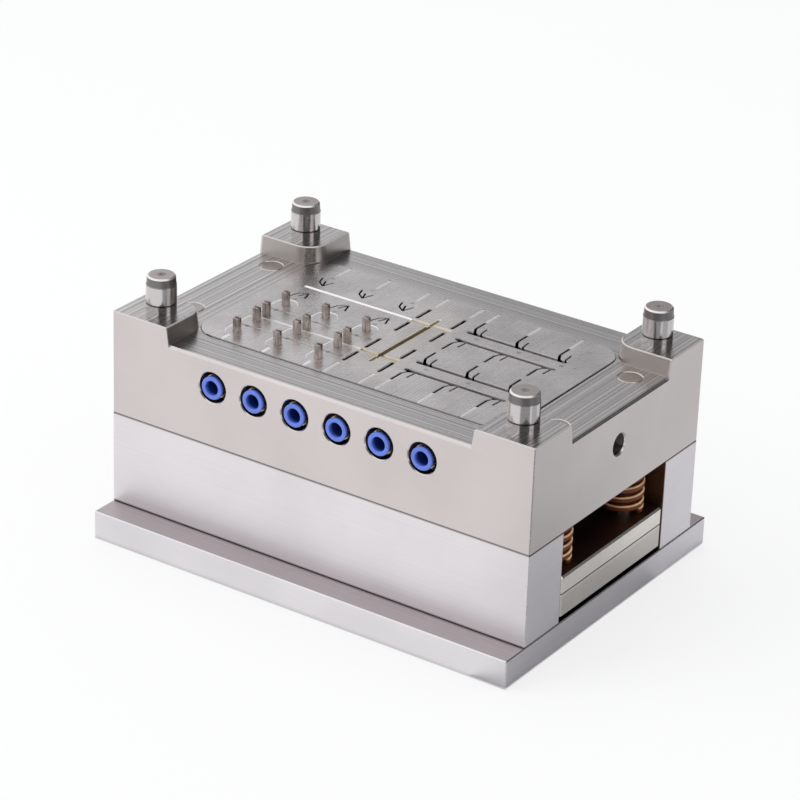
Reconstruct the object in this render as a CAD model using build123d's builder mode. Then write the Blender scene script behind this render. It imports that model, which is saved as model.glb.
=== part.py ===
from build123d import *
from math import atan2, degrees
import os

os.makedirs("parts", exist_ok=True)

# Moving half of a two-plate mould base, in millimetres, +Z up.
# X runs along the length, -Y is the side with the water fittings.
# The origin is the middle of the clamp plate's underside.

# Plate stack
base_length = 400
base_width = 250
clamp_width = 300
clamp_thick = 25
spacer_height = 80
spacer_width = 49
plate_thick = 90
edge_break = 0.8
seam_break = 0.4
z_clamp = clamp_thick
z_plate = z_clamp + spacer_height
z_top = z_plate + plate_thick

# Raised corner locks, left standing when the parting face is milled down
lock_height = 15
lock_length = 54
lock_width = 51
lock_radius = 18
lock_taper = 8
rim_break = 2
z_floor = z_top - lock_height

# Core insert and its pocket
insert_from_end = 50
insert_from_side = 35
insert_length = base_length - 2 * insert_from_end
insert_width = base_width - 2 * insert_from_side
insert_radius = 24
insert_proud = 1
insert_gap = 0.1
insert_break = 0.3
pocket_depth = 40
pocket_break = 0.5
z_seat = z_floor - pocket_depth
z_face = z_floor + insert_proud

# Guide pins
guide_dia = 25
guide_head_dia = 30
guide_head = 8
guide_reach = 30
guide_from_end = 28
guide_from_side = 27
guide_x = base_length / 2 - guide_from_end
guide_y = base_width / 2 - guide_from_side
guide_undercut = 0.6
guide_undercut_height = 1.2
guide_undercut_up = 6
guide_lead = 6.8
guide_lead_drop = 0.4
guide_nose = 1.2
guide_dimple = 2

# Ejector plates and travel
stop_gap = 5
ejector_thick = 20
retainer_thick = 15
ejector_side_gap = 1
ejector_width = base_width - 2 * spacer_width - 2 * ejector_side_gap
ejector_break = 1.5
ejector_travel = 20
z_ejector = z_clamp + stop_gap
z_retainer = z_ejector + ejector_thick
z_deck = z_retainer + retainer_thick

# Return pins and their springs
return_dia = 20
return_fit = 0.05
return_loose = 0.3
return_head_dia = 25
return_head = 6
return_break = 0.6
return_from_side = 21
return_x = (base_length + insert_length) / 4
return_y = ejector_width / 2 - return_from_side
spring_od = 35
spring_wire_wide = 6.5
spring_wire_high = 4.5
spring_turns = 7
spring_end = 3.4
spring_end_step = 0.1
spring_side_gap = 1
spring_seat = 25
spring_length = z_plate + spring_seat - z_deck

# Ejector pins
pin_dia = 4
pin_fit = 0.03
pin_loose = 0.5
pin_head_dia = 8
pin_head = 5
head_gap = 0.3

# Standing core pins
core_dia = 7.5
core_tall = 11
core_head_dia = 11
core_head = 4
core_notch = 2.2
core_notch_deep = 3

# Cavity layout on the insert face
axis_y = 36
column_pitch = 40
column_margin = 30
runner_x = -2
branch_left_x = -19
branch_right_x = 15
left_start = 19
right_start = 15.5
core_near = 6.5
core_from_side = 21
core_far = insert_width / 2 - core_from_side - axis_y

# Runners, slits and grooves
runner_wide = 6
runner_deep = 4
branch_wide = 3.5
branch_deep = 2.4
gate_wide = 3.5
gate_deep = 1.2
runner_taper = 10
shallow_taper = 45
slit_wide = 1.8
hook_wide = 2.4
hook_foot_wide = 4
slit_deep = 6
groove_wide = 6
groove_deep = 3.8
groove_offset = 8.5
groove_over = 9.5
cross_wide = 4.5
cross_over = 1
slug_long = 12.5
branch_near = 6
branch_far = 25
gate_over = 8
print_wide = 20
print_deep = 0.6
step_wide = 1.8
step_deep = 1.2
step_over = 14
vent_wide = 3
vent_deep = 0.3
vent_long = 22
puller_drop = 1

# Outlines of the forming slits, measured from their column and axis
fork_foot = (2, 9.5)
fork_long_arm = [(-7.5, 23), (-5, 15), fork_foot]
fork_middle_arm = [(-1.5, 19), fork_foot]
fork_short_arm = [(5.5, 20), fork_foot]
fork_pin_out = 27
hook_foot = [(3, 11), (8, groove_offset)]
hook_stem = [(0, 31), (0, 17), *hook_foot]
hook_barb = [(8, 21), (9, groove_offset)]
hook_pin_along = 12

# Water circuit and push-in fittings
fitting_count = 6
fitting_spread = 40
fitting_margin = 32
fitting_pitch = min(fitting_spread, (insert_length - 2 * fitting_margin) / (fitting_count - 1))
fitting_above_seat = 16
fitting_z = z_seat + fitting_above_seat
fitting_hole = 26
fitting_break = 0.8
water_dia = 8
cross_from_side = 12
cross_y = insert_width / 2 - cross_from_side
plug_long = 10
plug_inset = 8
plug_gap = 0.02
socket_dia = 13
socket_deep = 12
thread_long = 11.5
hex_flats = 21
hex_long = 12
barrel_dia = 20
barrel_set_back = 4.5
barrel_long = (base_width - insert_width) / 2 - barrel_set_back - hex_long
tube_dia = 12.2
tube_room = 0.1
seal_squeeze = 0.3
seal_dia = 15.8
seal_long = 2.4
seal_back = 3
collar_dia = 19.5
collar_flange = 2.5
collar_stem_dia = 15
collar_stem_grip = 8.5
collar_gap = 0.3
collar_stand = 1
collar_travel = 1.5
collar_rest = 0.5

# Knock-out and lifting holes
knockout_dia = 40
lift_dia = 17.5
lift_rim = 1.2
lift_deep = 38
lift_z = z_plate + plate_thick / 2

# Socket screws, named after the thread diameter
clamp_screw = 14
clamp_screw_bite = 28
clamp_screw_from_end = 80
spacer_screw = 8
spacer_screw_bite = 22
spacer_screw_from_end = 138
insert_screw = 10
insert_screw_bite = 15
insert_screw_from_end = 15
insert_screw_from_side = 30
ejector_screw = 8
ejector_screw_bite = 12
ejector_screw_from_end = 95
ejector_screw_from_side = 13
stroke_screw = 6
stroke_screw_bite = 12
screw_hole_gap = 0.5
head_recess = 1
head_wide = 1.5
socket_wide = 0.8
socket_share = 0.5
stack_y = base_width / 2 - spacer_width / 2
clamp_screw_x = base_length / 2 - clamp_screw_from_end
spacer_screw_x = base_length / 2 - spacer_screw_from_end
insert_screw_x = insert_length / 2 - insert_screw_from_end
insert_screw_y = insert_width / 2 - insert_screw_from_side
ejector_screw_x = base_length / 2 - ejector_screw_from_end
ejector_screw_y = ejector_width / 2 - ejector_screw_from_side

# Rest buttons below and stroke stops above the ejector plates
button_dia = 24
button_stem_dia = 10
button_stem = 12
button_from_end = 50
button_from_side = 30
button_x = base_length / 2 - button_from_end
button_y = ejector_width / 2 - button_from_side
stroke_dia = 25
stroke_from_end = 60
stroke_from_side = 13
stroke_x = base_length / 2 - stroke_from_end
stroke_y = ejector_width / 2 - stroke_from_side
stroke_height = z_plate - z_deck - ejector_travel

# Positions shared by several pieces
guide_points = [(x, y) for x in (-guide_x, guide_x) for y in (-guide_y, guide_y)]
return_points = [(x, y) for x in (-return_x, return_x) for y in (-return_y, return_y)]
clamp_screw_points = [(x, y) for x in (-clamp_screw_x, clamp_screw_x) for y in (-stack_y, stack_y)]
spacer_screw_points = [(x, y) for x in (-spacer_screw_x, spacer_screw_x) for y in (-stack_y, stack_y)]
insert_screw_points = [
    (x, y) for x in (-insert_screw_x, insert_screw_x) for y in (-insert_screw_y, insert_screw_y)
]
ejector_screw_points = [
    (x, y) for x in (-ejector_screw_x, ejector_screw_x) for y in (-ejector_screw_y, ejector_screw_y)
]
button_points = [(x, y) for x in (-button_x, 0, button_x) for y in (-button_y, button_y)]
stroke_points = [(-stroke_x, 0), (stroke_x, 0), (0, -stroke_y), (0, stroke_y)]
left_room = insert_length / 2 - column_margin + branch_left_x - left_start
right_room = insert_length / 2 - column_margin - branch_right_x - right_start
left_columns = [
    branch_left_x - left_start - column_pitch * n for n in range(int(left_room / column_pitch) + 1)
]
right_columns = [
    branch_right_x + right_start + column_pitch * n for n in range(int(right_room / column_pitch) + 1)
]
fitting_columns = [fitting_pitch * (n - (fitting_count - 1) / 2) for n in range(fitting_count)]
core_points = [
    (x, -axis_y + row) for x in left_columns for row in (-core_far, -core_near, core_near, core_far)
]
core_middle = (core_near + core_far) / 2
step_points = [(x, -axis_y + side * core_middle) for x in left_columns for side in (-1, 1)]
flush_points = [(x, axis_y + side * fork_pin_out) for x in left_columns for side in (-1, 1)]
flush_points += [(x + hook_pin_along, side * axis_y) for x in right_columns for side in (-1, 1)]
puller_points = [(runner_x, -axis_y), (runner_x, 0), (runner_x, axis_y)]
pin_points = [*step_points, *flush_points, *puller_points]
z_puller = z_face - runner_deep - puller_drop


def slot_between(start, end, width):
    """Round-ended slot from one point to another in the open sketch."""
    run = Vector(*end) - Vector(*start)
    with Locations((Vector(*start) + Vector(*end)) * 0.5):
        SlotCenterToCenter(run.length, width, rotation=degrees(atan2(run.Y, run.X)))


def slit_from(x, y, side, outline, width):
    """Bent slit in the open sketch, its outline measured from a column and an axis, to one side of it."""
    points = [(x + along, y + side * out) for along, out in outline]
    for start, end in zip(points, points[1:]):
        slot_between(start, end, width)


# Bottom clamp plate: wider than the stack, so the press can grip its long sides
with BuildPart() as bottom_clamp_plate:
    with BuildSketch(Plane.XY):
        Rectangle(base_length, clamp_width)
    extrude(amount=clamp_thick)
    chamfer(bottom_clamp_plate.edges(), edge_break)
    with BuildSketch(Plane.XY):
        Circle(knockout_dia / 2)
        with Locations(*clamp_screw_points):
            Circle(clamp_screw / 2 + screw_hole_gap)
        with Locations(*spacer_screw_points):
            Circle(spacer_screw / 2 + screw_hole_gap)
    extrude(amount=clamp_thick, mode=Mode.SUBTRACT)
    with BuildSketch(Plane.XY):
        with Locations(*clamp_screw_points):
            Circle(head_wide * clamp_screw / 2 + screw_hole_gap)
    extrude(amount=clamp_screw + head_recess, mode=Mode.SUBTRACT)
    with BuildSketch(Plane.XY):
        with Locations(*spacer_screw_points):
            Circle(head_wide * spacer_screw / 2 + screw_hole_gap)
    extrude(amount=spacer_screw + head_recess, mode=Mode.SUBTRACT)
    with BuildSketch(Plane.XY.offset(z_clamp)):
        with Locations(*button_points):
            Circle(button_stem_dia / 2)
    extrude(amount=-button_stem, mode=Mode.SUBTRACT)
bottom_clamp_plate.part.label = "bottom_clamp_plate"
export_step(bottom_clamp_plate.part, "parts/bottom_clamp_plate.step")

# Two spacer blocks carry the mould plate over the ejector box
for side_name, side in (("front", -1), ("rear", 1)):
    with BuildPart() as spacer_block:
        with BuildSketch(Plane.XY.offset(z_clamp)):
            with Locations((0, side * stack_y)):
                Rectangle(base_length, spacer_width)
        extrude(amount=spacer_height)
        chamfer(spacer_block.edges(), seam_break)
        with BuildSketch(Plane.XY.offset(z_clamp)):
            with Locations((-clamp_screw_x, side * stack_y), (clamp_screw_x, side * stack_y)):
                Circle(clamp_screw / 2 + screw_hole_gap)
        extrude(amount=spacer_height, mode=Mode.SUBTRACT)
        with BuildSketch(Plane.XY.offset(z_clamp)):
            with Locations((-spacer_screw_x, side * stack_y), (spacer_screw_x, side * stack_y)):
                Circle(spacer_screw / 2)
        extrude(amount=spacer_screw_bite, mode=Mode.SUBTRACT)
    spacer_block.part.label = f"spacer_block_{side_name}"
    export_step(spacer_block.part, f"parts/spacer_block_{side_name}.step")

# Core plate: tapered corner locks round a milled parting face, with the insert pocket in the middle
with BuildPart() as core_plate:
    with BuildSketch(Plane.XY.offset(z_plate)):
        Rectangle(base_length, base_width)
    extrude(amount=plate_thick)
    chamfer(core_plate.edges().filter_by(Axis.Z), edge_break)
    chamfer(core_plate.faces().sort_by(Axis.Z)[0].edges(), seam_break)
    chamfer(core_plate.faces().sort_by(Axis.Z)[-1].edges(), edge_break)
    # the same cross is cut twice: first as the locks' edge break, then down to the parting face
    for wider, deep, slope in ((edge_break, edge_break, 45), (0, lock_height, lock_taper)):
        with BuildSketch(Plane.XY.offset(z_top)) as recess:
            Rectangle(base_length - 2 * lock_length + 2 * wider, 2 * base_width)
            Rectangle(2 * base_length, base_width - 2 * lock_width + 2 * wider)
            inner = [
                v for v in recess.vertices() if abs(v.X) < base_length / 2 and abs(v.Y) < base_width / 2
            ]
            fillet(inner, lock_radius - wider)
        extrude(amount=-deep, taper=slope, mode=Mode.SUBTRACT)
    rim = [
        e
        for e in core_plate.edges()
        if abs(e.center().Z - z_floor) < 0.01
        and (abs(e.center().X) > base_length / 2 - 0.01 or abs(e.center().Y) > base_width / 2 - 0.01)
    ]
    chamfer(rim, rim_break)
    # the pocket, and the break round its mouth as a wider and shallow cut
    for wider, deep, slope in ((pocket_break, pocket_break, 45), (0, pocket_depth, 0)):
        grow = 2 * (insert_gap + wider)
        with BuildSketch(Plane.XY.offset(z_floor)):
            RectangleRounded(insert_length + grow, insert_width + grow, insert_radius + grow / 2)
        extrude(amount=-deep, taper=slope, mode=Mode.SUBTRACT)
    # guide pins enter from below and seat on their heads
    with BuildSketch(Plane.XY.offset(z_plate)):
        with Locations(*guide_points):
            Circle(guide_dia / 2)
    extrude(amount=plate_thick, mode=Mode.SUBTRACT)
    with BuildSketch(Plane.XY.offset(z_plate)):
        with Locations(*guide_points):
            Circle(guide_head_dia / 2 + head_gap)
    extrude(amount=guide_head, mode=Mode.SUBTRACT)
    # return pins run in reamed bores, their springs in wide pockets from below
    with BuildSketch(Plane.XY.offset(z_plate)):
        with Locations(*return_points):
            Circle(return_dia / 2 + return_fit)
    extrude(amount=z_floor - z_plate, mode=Mode.SUBTRACT)
    return_rims = [
        e
        for e in core_plate.edges().filter_by(GeomType.CIRCLE)
        if abs(e.center().Z - z_floor) < 0.01 and abs(e.radius - return_dia / 2 - return_fit) < 0.01
    ]
    chamfer(return_rims, return_break)
    with BuildSketch(Plane.XY.offset(z_plate)):
        with Locations(*return_points):
            Circle(spring_od / 2 + spring_side_gap)
    extrude(amount=spring_seat, mode=Mode.SUBTRACT)
    # ejector pins pass the pocket floor with room to spare
    with BuildSketch(Plane.XY.offset(z_plate)):
        with Locations(*pin_points):
            Circle(pin_dia / 2 + pin_loose)
        with Locations(*insert_screw_points):
            Circle(insert_screw / 2 + screw_hole_gap)
    extrude(amount=z_seat - z_plate, mode=Mode.SUBTRACT)
    with BuildSketch(Plane.XY.offset(z_plate)):
        with Locations(*insert_screw_points):
            Circle(head_wide * insert_screw / 2 + screw_hole_gap)
    extrude(amount=insert_screw + head_recess, mode=Mode.SUBTRACT)
    with BuildSketch(Plane.XY.offset(z_plate)):
        with Locations(*clamp_screw_points):
            Circle(clamp_screw / 2)
    extrude(amount=clamp_screw_bite, mode=Mode.SUBTRACT)
    # clearance bores let the fittings reach the insert through the front wall
    with BuildSketch(Plane.XZ.offset(base_width / 2)):
        with Locations(*[(x, fitting_z) for x in fitting_columns]):
            Circle(fitting_hole / 2)
    extrude(amount=-(base_width - insert_width) / 2, mode=Mode.SUBTRACT)
    fitting_rims = [
        e
        for e in core_plate.edges().filter_by(GeomType.CIRCLE)
        if abs(e.center().Y + base_width / 2) < 0.01 and abs(e.radius - fitting_hole / 2) < 0.01
    ]
    chamfer(fitting_rims, fitting_break)
    # one tapped lifting hole in the middle of each end
    for end in (-1, 1):
        with BuildSketch(Plane.YZ.offset(end * base_length / 2)):
            with Locations((0, lift_z)):
                Circle(lift_dia / 2)
        extrude(amount=-end * lift_deep, mode=Mode.SUBTRACT)
    lift_rims = [
        e
        for e in core_plate.edges().filter_by(GeomType.CIRCLE)
        if abs(e.center().X) > base_length / 2 - 0.01 and abs(e.radius - lift_dia / 2) < 0.01
    ]
    chamfer(lift_rims, lift_rim)
core_plate.part.label = "core_plate"
export_step(core_plate.part, "parts/core_plate.step")

# Core insert: runner cross, gates, forming slits and grooves cut into one hardened block
with BuildPart() as core_insert:
    with BuildSketch(Plane.XY.offset(z_seat)):
        RectangleRounded(insert_length, insert_width, insert_radius)
    extrude(amount=z_face - z_seat)
    chamfer(core_insert.faces().sort_by(Axis.Z)[-1].edges(), insert_break)
    # shallow part impressions round each pair of standing core pins
    with BuildSketch(Plane.XY.offset(z_face)):
        for x in left_columns:
            for side in (-1, 1):
                slot_between(
                    (x, -axis_y + side * core_near), (x, -axis_y + side * core_far), print_wide
                )
    extrude(amount=-print_deep, taper=shallow_taper, mode=Mode.SUBTRACT)
    # vents from the outer impressions to the insert's edge
    with BuildSketch(Plane.XY.offset(z_face)):
        for x in (*left_columns, branch_left_x, branch_right_x, *right_columns):
            for side in (-1, 1):
                with Locations((x, side * (insert_width - vent_long) / 2)):
                    Rectangle(vent_wide, vent_long)
    extrude(amount=-vent_deep, taper=shallow_taper, mode=Mode.SUBTRACT)
    # main runner with a narrower cold slug well at each end
    with BuildSketch(Plane.XY.offset(z_face)):
        slot_between((runner_x, -axis_y), (runner_x, axis_y), runner_wide)
    extrude(amount=-runner_deep, taper=runner_taper, mode=Mode.SUBTRACT)
    with BuildSketch(Plane.XY.offset(z_face)):
        for side in (-1, 1):
            y = side * axis_y
            slot_between((runner_x, y), (runner_x, y + side * slug_long), cross_wide)
            slot_between((branch_left_x, y), (branch_right_x + cross_over, y), cross_wide)
    extrude(amount=-branch_deep, taper=runner_taper, mode=Mode.SUBTRACT)
    # branches beside the main runner
    with BuildSketch(Plane.XY.offset(z_face)):
        for side in (-1, 1):
            for reach in (-1, 1):
                for x in (branch_left_x, branch_right_x):
                    y = side * axis_y
                    slot_between((x, y + reach * branch_near), (x, y + reach * branch_far), branch_wide)
    extrude(amount=-slit_deep, mode=Mode.SUBTRACT)
    # long gate runners along both axes of the left half
    with BuildSketch(Plane.XY.offset(z_face)):
        for side in (-1, 1):
            y = side * axis_y
            slot_between((left_columns[-1] - gate_over, y), (branch_left_x, y), gate_wide)
    extrude(amount=-gate_deep, taper=shallow_taper, mode=Mode.SUBTRACT)
    # step lines across the rows of standing pins
    with BuildSketch(Plane.XY.offset(z_face)):
        for side in (-1, 1):
            y = -axis_y + side * core_middle
            slot_between((left_columns[-1] - step_over, y), (left_columns[0] + step_over, y), step_wide)
    extrude(amount=-step_deep, mode=Mode.SUBTRACT)
    # three-armed forming slits on both sides of the upper left axis
    with BuildSketch(Plane.XY.offset(z_face)):
        for x in left_columns:
            for side in (-1, 1):
                for arm in (fork_long_arm, fork_middle_arm, fork_short_arm):
                    slit_from(x, axis_y, side, arm, slit_wide)
    extrude(amount=-slit_deep, mode=Mode.SUBTRACT)
    # paired grooves and hook slits of the right half
    with BuildSketch(Plane.XY.offset(z_face)):
        for side in (-1, 1):
            for reach in (-1, 1):
                y = side * axis_y + reach * groove_offset
                slot_between((right_columns[0], y), (right_columns[-1] + groove_over, y), groove_wide)
    extrude(amount=-groove_deep, mode=Mode.SUBTRACT)
    with BuildSketch(Plane.XY.offset(z_face)):
        for x in right_columns:
            for side in (-1, 1):
                for reach in (-1, 1):
                    slit_from(x, side * axis_y, reach, hook_stem, hook_wide)
                    slit_from(x, side * axis_y, reach, hook_foot, hook_foot_wide)
                    slit_from(x, side * axis_y, reach, hook_barb, slit_wide)
    extrude(amount=-slit_deep, mode=Mode.SUBTRACT)
    # bores for the standing core pins, held by heads below
    with BuildSketch(Plane.XY.offset(z_seat)):
        with Locations(*core_points):
            Circle(core_dia / 2)
    extrude(amount=z_face - z_seat, mode=Mode.SUBTRACT)
    with BuildSketch(Plane.XY.offset(z_seat)):
        with Locations(*core_points):
            Circle(core_head_dia / 2 + head_gap)
    extrude(amount=core_head, mode=Mode.SUBTRACT)
    with BuildSketch(Plane.XY.offset(z_seat)):
        with Locations(*pin_points):
            Circle(pin_dia / 2 + pin_fit)
    extrude(amount=z_face - z_seat, mode=Mode.SUBTRACT)
    with BuildSketch(Plane.XY.offset(z_seat)):
        with Locations(*insert_screw_points):
            Circle(insert_screw / 2)
    extrude(amount=insert_screw_bite, mode=Mode.SUBTRACT)
    # water bores from the fittings, joined by one plugged cross bore
    with BuildSketch(Plane.XZ.offset(insert_width / 2)):
        with Locations(*[(x, fitting_z) for x in fitting_columns]):
            Circle(water_dia / 2)
    extrude(amount=-(insert_width / 2 + cross_y), mode=Mode.SUBTRACT)
    with BuildSketch(Plane.XZ.offset(insert_width / 2)):
        with Locations(*[(x, fitting_z) for x in fitting_columns]):
            Circle(socket_dia / 2)
    extrude(amount=-socket_deep, mode=Mode.SUBTRACT)
    with BuildSketch(Plane.YZ.offset(-insert_length / 2)):
        with Locations((cross_y, fitting_z)):
            Circle(water_dia / 2)
    extrude(amount=insert_length, mode=Mode.SUBTRACT)
core_insert.part.label = "core_insert"
export_step(core_insert.part, "parts/core_insert.step")

# Standing core pins: round in the insert, six-sided above it, notched at the top
with BuildPart() as core_pins:
    with BuildSketch(Plane.XY.offset(z_seat)):
        with Locations(*core_points):
            Circle(core_head_dia / 2)
    extrude(amount=core_head)
    with BuildSketch(Plane.XY.offset(z_seat + core_head)):
        with Locations(*core_points):
            Circle(core_dia / 2)
    extrude(amount=z_face - print_deep - z_seat - core_head)
    with BuildSketch(Plane.XY.offset(z_face - print_deep)):
        with Locations(*core_points):
            RegularPolygon(core_dia / 2, 6)
    extrude(amount=core_tall + print_deep)
    with BuildSketch(Plane.XY.offset(z_face + core_tall)):
        with Locations(*core_points):
            Rectangle(core_dia, core_notch)
    extrude(amount=-core_notch_deep, mode=Mode.SUBTRACT)
core_pins.part.label = "core_pins"
export_step(core_pins.part, "parts/core_pins.step")

# Plugs close the cross bore at both ends and part it into three circuits
with BuildPart() as water_plugs:
    for start in (
        -insert_length / 2 + plug_inset,
        -fitting_pitch - plug_long / 2,
        fitting_pitch - plug_long / 2,
        insert_length / 2 - plug_inset - plug_long,
    ):
        with BuildSketch(Plane.YZ.offset(start)):
            with Locations((cross_y, fitting_z)):
                Circle(water_dia / 2 - plug_gap)
        extrude(amount=plug_long)
water_plugs.part.label = "water_plugs"
export_step(water_plugs.part, "parts/water_plugs.step")

# Guide pins, turned: head, pressed body, undercut just over the lock top, body, lead-in and nose
guide_r = guide_dia / 2
guide_end = z_top + guide_reach
guide_lead_r = guide_r - 2 * guide_lead_drop
guide_press_end = z_top + guide_undercut_up
with BuildPart() as guide_pin:
    with BuildSketch(Plane.XZ):
        with BuildLine():
            Polyline(
                (0, z_plate),
                (guide_head_dia / 2, z_plate),
                (guide_head_dia / 2, z_plate + guide_head),
                (guide_r, z_plate + guide_head),
                (guide_r, guide_press_end),
                (guide_r - guide_undercut, guide_press_end),
                (guide_r - guide_undercut, guide_press_end + guide_undercut_height),
                (guide_r, guide_press_end + guide_undercut_height),
                (guide_r, guide_end - guide_lead - guide_nose),
                (guide_r - guide_lead_drop, guide_end - guide_lead - guide_nose),
                (guide_lead_r, guide_end - guide_nose),
                (guide_lead_r - guide_nose, guide_end),
                (guide_dimple, guide_end),
                (0, guide_end - guide_dimple),
                close=True,
            )
        make_face()
    revolve(axis=Axis.Z)
with BuildPart() as guide_pins:
    with Locations(*guide_points):
        add(guide_pin.part)
guide_pins.part.label = "guide_pins"
export_step(guide_pins.part, "parts/guide_pins.step")

# Return springs: flat wire wound on a helix, closed and ground flat at both ends
spring_mean = spring_od / 2 - spring_wire_wide / 2
with BuildPart() as spring:
    with BuildLine():
        coil = Helix(spring_length / spring_turns, spring_length, spring_mean, center=(0, 0, z_deck))
    with BuildSketch(Plane(origin=coil @ 0, x_dir=(1, 0, 0), z_dir=coil % 0)):
        Rectangle(spring_wire_wide, spring_wire_high)
    sweep(path=coil, is_frenet=True)
    for start in (z_deck, z_deck + spring_length - spring_end):
        with BuildSketch(Plane.XY.offset(start)):
            Circle(spring_od / 2 - spring_end_step)
            Circle(spring_od / 2 - spring_wire_wide + spring_end_step, mode=Mode.SUBTRACT)
        extrude(amount=spring_end)
    with BuildSketch(Plane.XY.offset(z_deck)):
        Circle(spring_od)
    extrude(amount=spring_length, mode=Mode.INTERSECT)
with BuildPart() as return_springs:
    with Locations(*return_points):
        add(spring.part)
return_springs.part.label = "return_springs"
export_step(return_springs.part, "parts/return_springs.step")

# Ejector retainer plate: hangs the pin heads
with BuildPart() as retainer_plate:
    with BuildSketch(Plane.XY.offset(z_retainer)):
        Rectangle(base_length, ejector_width)
    extrude(amount=retainer_thick)
    chamfer(retainer_plate.edges().filter_by(Axis.Z), ejector_break)
    chamfer(retainer_plate.faces().sort_by(Axis.Z)[-1].edges(), ejector_break)
    chamfer(retainer_plate.faces().sort_by(Axis.Z)[0].edges(), seam_break)
    with BuildSketch(Plane.XY.offset(z_retainer)):
        with Locations(*return_points):
            Circle(return_dia / 2 + return_loose)
        with Locations(*pin_points):
            Circle(pin_dia / 2 + pin_loose)
        with Locations(*stroke_points):
            Circle(stroke_screw / 2 + screw_hole_gap)
    extrude(amount=retainer_thick, mode=Mode.SUBTRACT)
    with BuildSketch(Plane.XY.offset(z_retainer)):
        with Locations(*return_points):
            Circle(return_head_dia / 2 + head_gap)
    extrude(amount=return_head, mode=Mode.SUBTRACT)
    with BuildSketch(Plane.XY.offset(z_retainer)):
        with Locations(*pin_points):
            Circle(pin_head_dia / 2 + head_gap)
    extrude(amount=pin_head, mode=Mode.SUBTRACT)
    with BuildSketch(Plane.XY.offset(z_retainer)):
        with Locations(*stroke_points):
            Circle(head_wide * stroke_screw / 2 + screw_hole_gap)
    extrude(amount=stroke_screw + head_recess, mode=Mode.SUBTRACT)
    with BuildSketch(Plane.XY.offset(z_retainer)):
        with Locations(*ejector_screw_points):
            Circle(ejector_screw / 2)
    extrude(amount=ejector_screw_bite, mode=Mode.SUBTRACT)
retainer_plate.part.label = "ejector_retainer_plate"
export_step(retainer_plate.part, "parts/ejector_retainer_plate.step")

# Ejector plate: backs the pin heads and takes the push of the press
with BuildPart() as ejector_plate:
    with BuildSketch(Plane.XY.offset(z_ejector)):
        Rectangle(base_length, ejector_width)
    extrude(amount=ejector_thick)
    chamfer(ejector_plate.edges().filter_by(Axis.Z), ejector_break)
    chamfer(ejector_plate.faces().sort_by(Axis.Z)[-1].edges(), seam_break)
    chamfer(ejector_plate.faces().sort_by(Axis.Z)[0].edges(), seam_break)
    with BuildSketch(Plane.XY.offset(z_ejector)):
        with Locations(*ejector_screw_points):
            Circle(ejector_screw / 2 + screw_hole_gap)
    extrude(amount=ejector_thick, mode=Mode.SUBTRACT)
    with BuildSketch(Plane.XY.offset(z_ejector)):
        with Locations(*ejector_screw_points):
            Circle(head_wide * ejector_screw / 2 + screw_hole_gap)
    extrude(amount=ejector_screw + head_recess, mode=Mode.SUBTRACT)
ejector_plate.part.label = "ejector_plate"
export_step(ejector_plate.part, "parts/ejector_plate.step")

# Return pins: flush with the parting face when the ejector plates are back
with BuildPart() as return_pins:
    with BuildSketch(Plane.XY.offset(z_retainer)):
        with Locations(*return_points):
            Circle(return_head_dia / 2)
    extrude(amount=return_head)
    with BuildSketch(Plane.XY.offset(z_retainer + return_head)):
        with Locations(*return_points):
            Circle(return_dia / 2)
    extrude(amount=z_floor - z_retainer - return_head)
    chamfer(return_pins.faces().filter_by(Axis.Z).group_by(Axis.Z)[-1].edges(), return_break)
return_pins.part.label = "return_pins"
export_step(return_pins.part, "parts/return_pins.step")

# Ejector pins end flush with the insert face or with the step line they stand in
with BuildPart() as ejector_pins:
    with BuildSketch(Plane.XY.offset(z_retainer)):
        with Locations(*step_points, *flush_points):
            Circle(pin_head_dia / 2)
    extrude(amount=pin_head)
    for points, z_end in ((step_points, z_face - step_deep), (flush_points, z_face)):
        with BuildSketch(Plane.XY.offset(z_retainer + pin_head)):
            with Locations(*points):
                Circle(pin_dia / 2)
        extrude(amount=z_end - z_retainer - pin_head)
ejector_pins.part.label = "ejector_pins"
export_step(ejector_pins.part, "parts/ejector_pins.step")

# Runner pullers stand below the runner's floor, so the plastic grips them
with BuildPart() as runner_puller_pins:
    with BuildSketch(Plane.XY.offset(z_retainer)):
        with Locations(*puller_points):
            Circle(pin_head_dia / 2)
    extrude(amount=pin_head)
    with BuildSketch(Plane.XY.offset(z_retainer + pin_head)):
        with Locations(*puller_points):
            Circle(pin_dia / 2)
    extrude(amount=z_puller - z_retainer - pin_head)
runner_puller_pins.part.label = "runner_puller_pins"
export_step(runner_puller_pins.part, "parts/runner_puller_pins.step")

# Rest buttons pressed into the clamp plate hold the ejector plates off it
with BuildPart() as rest_buttons:
    with BuildSketch(Plane.XY.offset(z_clamp)):
        with Locations(*button_points):
            Circle(button_dia / 2)
    extrude(amount=stop_gap)
    with BuildSketch(Plane.XY.offset(z_clamp)):
        with Locations(*button_points):
            Circle(button_stem_dia / 2)
    extrude(amount=-button_stem)
rest_buttons.part.label = "rest_buttons"
export_step(rest_buttons.part, "parts/rest_buttons.step")

# Stroke stops on the retainer plate meet the core plate at the end of the travel
with BuildPart() as stroke_stops:
    with BuildSketch(Plane.XY.offset(z_deck)):
        with Locations(*stroke_points):
            Circle(stroke_dia / 2)
    extrude(amount=stroke_height)
    with BuildSketch(Plane.XY.offset(z_deck)):
        with Locations(*stroke_points):
            Circle(stroke_screw / 2)
    extrude(amount=stroke_screw_bite, mode=Mode.SUBTRACT)
stroke_stops.part.label = "stroke_stops"
export_step(stroke_stops.part, "parts/stroke_stops.step")

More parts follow.
